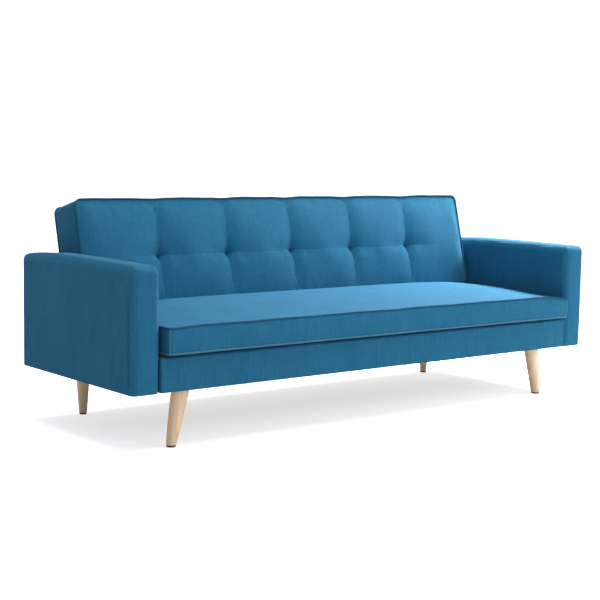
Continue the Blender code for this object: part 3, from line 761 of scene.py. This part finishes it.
def back_relief(x, up):
    """How far the face stands out: pillows between the seams, drawn in at the tufts."""
    upper = up > TUFT_ROW
    high, low = BACK_BLOCK.y - TUFT_ROW, BACK_BLOCK.y + TUFT_ROW
    # rise goes from 0 at the row of tufts to 1 at the top or bottom edge
    rise = np.clip(np.where(upper, (up - TUFT_ROW) / high, (TUFT_ROW - up) / low), 0, 1)
    to_seam = np.min([np.abs(x - t) for t in TUFTS], axis=0)
    # the upright seams: sharp and deep at a tuft, blunt and shallow at the edges
    seam_pull = 1 - np.where(upper, SEAM_FADE_ABOVE, SEAM_FADE_BELOW) * rise
    blunt = np.hypot(to_seam, np.where(upper, SEAM_BLUNT_ABOVE, SEAM_BLUNT_BELOW) * rise)
    across = 1 - seam_pull * (1 - puff(blunt, SEAM_WIDE + SEAM_WIDENS * rise))
    # the seam along the row of tufts: fainter away from each tuft and past the last one
    inner = 1 - smooth(np.abs(x), TUFTS[-1], BACK_BLOCK.x - ROW_END_IN)
    row_pull = (ROW_FAINT + ROW_STRONG * inner) * np.exp(-to_seam / ROW_REACH)
    along = 1 - row_pull * (1 - puff(np.abs(up - TUFT_ROW), ROW_WIDE))
    relief = PILLOW_OUT * (1 - rise**2) + PILLOW_DEEP * (across * along - 1)
    crisp = (1 - rise) ** np.where(upper, CRISP_POWER_ABOVE, CRISP_POWER_BELOW)
    relief -= np.exp(-((to_seam / CRISP_WIDE) ** 2)) * CRISP_DEEP * crisp
    wide = np.where(upper, TUFT_WIDE_ABOVE, TUFT_WIDE_BELOW)
    for t in TUFTS:
        relief -= TUFT_DEEP * np.exp(-np.hypot(x - t, up - TUFT_ROW) / wide)
    return relief


def back_shape(points):
    """Quilts the face of the backrest's block; the same rule places its piping."""
    x, up, out = points.T.copy()
    face = smooth(out, BACK_FACE_FROM * BACK_BLOCK.z, BACK_BLOCK.z)
    inset = np.minimum(BACK_BLOCK.x - np.abs(x), BACK_BLOCK.y - np.abs(up))
    free = smooth(inset, *BACK_FREE)
    out_new = out + np.where(out > 0, face, 0) * free * back_relief(x, up)
    top = smooth(up, BACK_BLOCK.y - SCALLOP_TALL, BACK_BLOCK.y)
    scallop = sum(bell(x - t, SCALLOP_WIDE) for t in TUFTS)
    up_new = up - top * (SCALLOP * scallop - TOP_WANDER * waves(x, seed=41))
    is_end = end_band(np.abs(x), BACK_BLOCK.x)
    middle = 1 - np.clip(np.abs(out) / BACK_BLOCK.z, 0, 1) ** 2
    x_new = x + np.sign(x) * is_end * middle * BACK_END_SWELL
    return np.stack([x_new, up_new, out_new], 1)


def backrest():
    beside = sorted((*BESIDE_SEAM, 0.0, *(-d for d in BESIDE_SEAM)))
    seams = sorted(t + d for t in TUFTS for d in beside)
    rows = [TUFT_ROW + d for d in beside]
    points, faces, flat = soft_block(
        tuple(BACK_BLOCK), BACK_GRID, BACK_CORNER, RIM, RIM, edge=BACK_EDGE, fine=FINE, lines=(seams, rows)
    )
    points = back_place(back_shape(points))
    piece = as_object("back_cover", points, faces, flat, "backrest")
    x, up, out = flat.T
    rim = np.minimum(BACK_BLOCK.x - np.abs(x), BACK_BLOCK.y - np.abs(up)) < HELD_RIM
    held = (out < BACK_BLOCK.z * ON_FACE) | rim
    for t in TUFTS:
        held |= np.abs(x - t) < BESIDE_SEAM[0]
        held |= np.hypot(x - t, up - TUFT_ROW) < TUFT_HELD
    settle(piece, held)
    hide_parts("back_cushion", "back_rear_panel")
    for name, out in (("front", BACK_BLOCK.z - PIPING_IN), ("rear", -BACK_BLOCK.z + PIPING_IN)):
        line = plan_line(BACK_BLOCK, BACK_CORNER, out)
        line = open_run(line, line[:, 1] > BACK_CORNER - BACK_BLOCK.y)
        line = back_place(back_shape(line))
        # the backrest's cords get the darker copy of the fabric: painted shade along its rims
        piping(f"back_piping_{name}", line, DARK_PIPING_PAINTED_SHADE, "backrest")


# ---- legs ----------------------------------------------------------------------------------------
def leg(place, side):
    """A turned leg, sheared where it splays so that both its ends stay level."""
    low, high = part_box(f"leg_{place}_{side}")
    plate_low, plate_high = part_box(f"leg_plate_{place}_{side}")
    glide_low, glide_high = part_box(f"leg_glide_{place}_{side}")
    top_x = (plate_low.x + plate_high.x) / 2
    foot_x = (glide_low.x + glide_high.x) / 2
    centre_y = (low.y + high.y) / 2
    top_radius = (high.y - low.y) / 2
    foot_radius = (glide_high.x - glide_low.x) / 2 + LEG_OVER_GLIDE
    tall = high.z - low.z
    profile = [(top_radius - LEG_TOP_BEVEL, tall), (top_radius, tall - LEG_TOP_BEVEL)]
    for i in range(1, LEG_RINGS):
        share = i / LEG_RINGS
        belly = LEG_BELLY * sin(pi * share)
        profile.append((top_radius + (foot_radius - top_radius) * share + belly, tall * (1 - share)))
    for i in range(LEG_FOOT_RINGS):
        angle = radians(90 * i / (LEG_FOOT_RINGS - 1))
        inward, up = 1 - cos(angle), 1 - sin(angle)
        profile.append((foot_radius - LEG_FOOT_ROUND * inward, LEG_FOOT_ROUND * up))
    turns = [2 * pi * k / LEG_SIDES for k in range(LEG_SIDES)]
    bm = bmesh.new()
    rings = []
    for radius, height in profile:
        centre_x, z = foot_x + (top_x - foot_x) * height / tall, low.z + height
        ring = [(centre_x + radius * cos(a), centre_y + radius * sin(a), z) for a in turns]
        rings.append([bm.verts.new(point) for point in ring])
    for upper, lower in zip(rings, rings[1:]):
        for k in range(LEG_SIDES):
            after = (k + 1) % LEG_SIDES
            bm.faces.new((upper[k], lower[k], lower[after], upper[after]))
    bm.faces.new(rings[0])
    bm.faces.new(rings[-1][::-1])
    mesh = bpy.data.meshes.new(f"turned_leg_{place}_{side}")
    bmesh.ops.recalc_face_normals(bm, faces=bm.faces)
    bm.to_mesh(mesh)
    bm.free()
    mesh.shade_smooth()
    mesh.set_sharp_from_angle(angle=radians(40))
    mesh.materials.append(LEG_WOOD)
    obj = bpy.data.objects.new(mesh.name, mesh)
    bpy.context.scene.collection.objects.link(obj)
    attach(obj, "base")
    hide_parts(f"leg_{place}_{side}")


# ---- studio --------------------------------------------------------------------------------------
LENS = 79.37  # millimetres, on a 36 mm wide sensor
CAMERA = (-3.1445, -3.8212, 0.9487)
YAW, PITCH, ROLL = radians(38.4255), radians(6.3833), radians(0.968)
SURROUND, SURROUND_STRENGTH = (0.92, 0.96, 1.0), 0.50
FLOOR_SIZE = 400
FLOOR_DOWN = 0.0005  # keeps the floor clear of the glides
FLOOR_GLOW = 0.60  # lifts it to white, for the camera alone
FLOOR_GREY, FLOOR_PALE = (0.68, 0.68, 0.68, 1), (0.90, 0.90, 0.90, 1)  # what the sofa, and the camera, see


def camera():
    """A long lens, low and from the left: yaw towards +X from +Y, then pitch down, then roll."""
    data = bpy.data.cameras.new("camera")
    data.sensor_width = 36.0
    data.lens = LENS
    ahead = Vector((sin(YAW) * cos(PITCH), cos(YAW) * cos(PITCH), -sin(PITCH)))
    right = Vector((cos(YAW), -sin(YAW), 0))
    up = right.cross(ahead)
    turned_right = right * cos(ROLL) + up * sin(ROLL)
    turned_up = up * cos(ROLL) - right * sin(ROLL)
    obj = bpy.data.objects.new("camera", data)
    basis = Matrix((turned_right, turned_up, -ahead)).transposed().to_4x4()
    obj.matrix_world = Matrix.Translation(CAMERA) @ basis
    bpy.context.scene.collection.objects.link(obj)
    bpy.context.scene.camera = obj


def put_light(data, direction, place=(0, 0, 0)):
    """Hangs a light at a place, shining along a direction."""
    obj = bpy.data.objects.new(data.name, data)
    obj.location = place
    obj.rotation_euler = Vector(direction).to_track_quat("-Z", "Y").to_euler()
    bpy.context.scene.collection.objects.link(obj)
    return obj


def area_light(name, place, target, size, power):
    """A square soft box: its size in metres and its power in watts."""
    data = bpy.data.lights.new(name, "AREA")
    data.shape = "SQUARE"
    data.size = size
    data.energy = power
    obj = put_light(data, Vector(target) - Vector(place), place)
    obj.visible_camera = False


def world():
    """A pale, soft surround, which the camera itself sees as plain white."""
    surround = bpy.data.worlds.new("studio")
    surround.use_nodes = True
    tree = surround.node_tree
    background = tree.nodes["Background"]
    background.inputs["Color"].default_value = (*SURROUND, 1)
    background.inputs["Strength"].default_value = SURROUND_STRENGTH
    seen = tree.nodes.new("ShaderNodeBackground")
    seen.inputs["Color"].default_value = (1, 1, 1, 1)
    path = tree.nodes.new("ShaderNodeLightPath")
    mix = tree.nodes.new("ShaderNodeMixShader")
    tree.links.new(path.outputs["Is Camera Ray"], mix.inputs[0])
    tree.links.new(background.outputs[0], mix.inputs[1])
    tree.links.new(seen.outputs[0], mix.inputs[2])
    tree.links.new(mix.outputs[0], tree.nodes["World Output"].inputs["Surface"])
    bpy.context.scene.world = surround
    bpy.context.scene.view_settings.view_transform = "Standard"


def floor():
    """A wide pale floor, lifted to the surround's white where the camera sees it."""
    bpy.ops.mesh.primitive_plane_add(size=FLOOR_SIZE, location=(0, 0, -FLOOR_DOWN))
    plane = bpy.context.object
    plane.name = "floor"
    n = Nodes("floor", (0.9, 0.9, 0.9), 0.8, Specular_IOR_Level=0.0, Emission_Strength=FLOOR_GLOW)
    seen = n.tree.nodes.new("ShaderNodeLightPath").outputs["Is Camera Ray"]
    n.put(n.mix(seen, (0, 0, 0, 1), (1, 1, 1, 1)), n.shader, "Emission Color")
    plane.data.materials.append(n.finish(colour=n.mix(seen, FLOOR_GREY, FLOOR_PALE)))


def lights():
    overhead = bpy.data.lights.new("overhead", "SUN")
    overhead.energy = 1.5
    overhead.angle = radians(40)
    put_light(overhead, (-0.10, 0.15, -0.98))
    area_light("key", place=(1.85, 0.3, 1.7), target=(0.6, 0, 0.4), size=0.6, power=110)
    area_light("front_right", place=(2.6, -2.6, 1.6), target=(0.6, 0, 0.5), size=1.5, power=25)
    area_light("front", place=(0.3, -3.3, 1.5), target=(0.1, 0, 0.45), size=1.6, power=17)


for side, sign in (("left", -1), ("right", 1)):
    arm(side, sign)
base_panel()
seat()
backrest()
for place in ("front", "rear"):
    for side in ("left", "right"):
        leg(place, side)
camera()
world()
floor()
lights()
